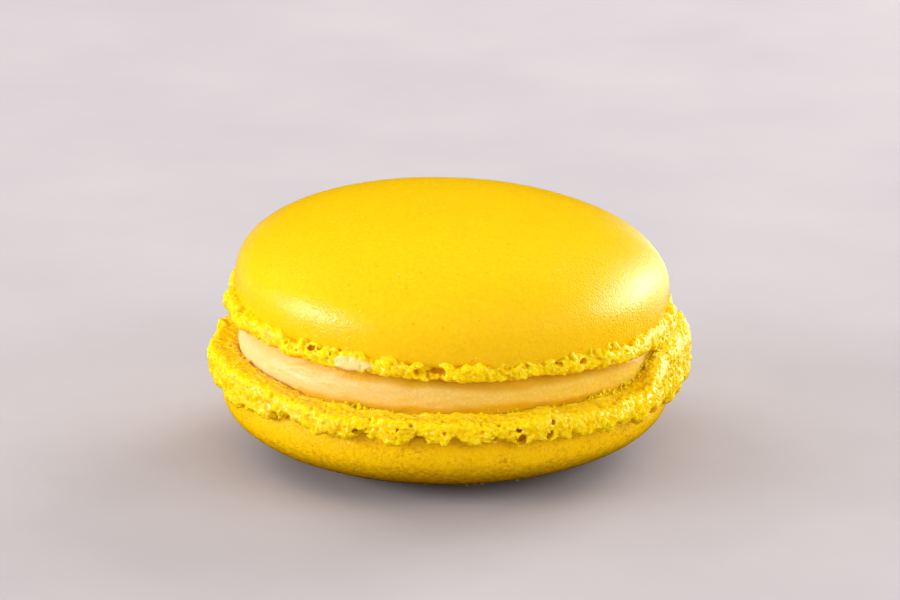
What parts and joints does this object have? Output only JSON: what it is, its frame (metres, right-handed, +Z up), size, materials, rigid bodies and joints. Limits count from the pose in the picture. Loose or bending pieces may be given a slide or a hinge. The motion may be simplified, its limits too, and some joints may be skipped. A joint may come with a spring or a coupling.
{
  "type": "french macaron",
  "caption": "Yellow almond macaron: two smooth domed shells with ruffled feet and a layer of pale cream between them, resting on its lower dome.",
  "frame": {"origin": "on the resting surface, under the middle of the macaron's outline", "axes": "+Z up through both domes, +X to the side where the shells lie closest together, -Y to the front shown"},
  "size_m": [0.0462, 0.0455, 0.024],
  "materials": {
    "almond_shell": "satin",
    "cream_filling": "satin"
  },
  "bodies": {
    "root": {"shell_lower": "almond_shell", "filling": "cream_filling", "shell_upper": "almond_shell"}
  },
  "joints": []
}
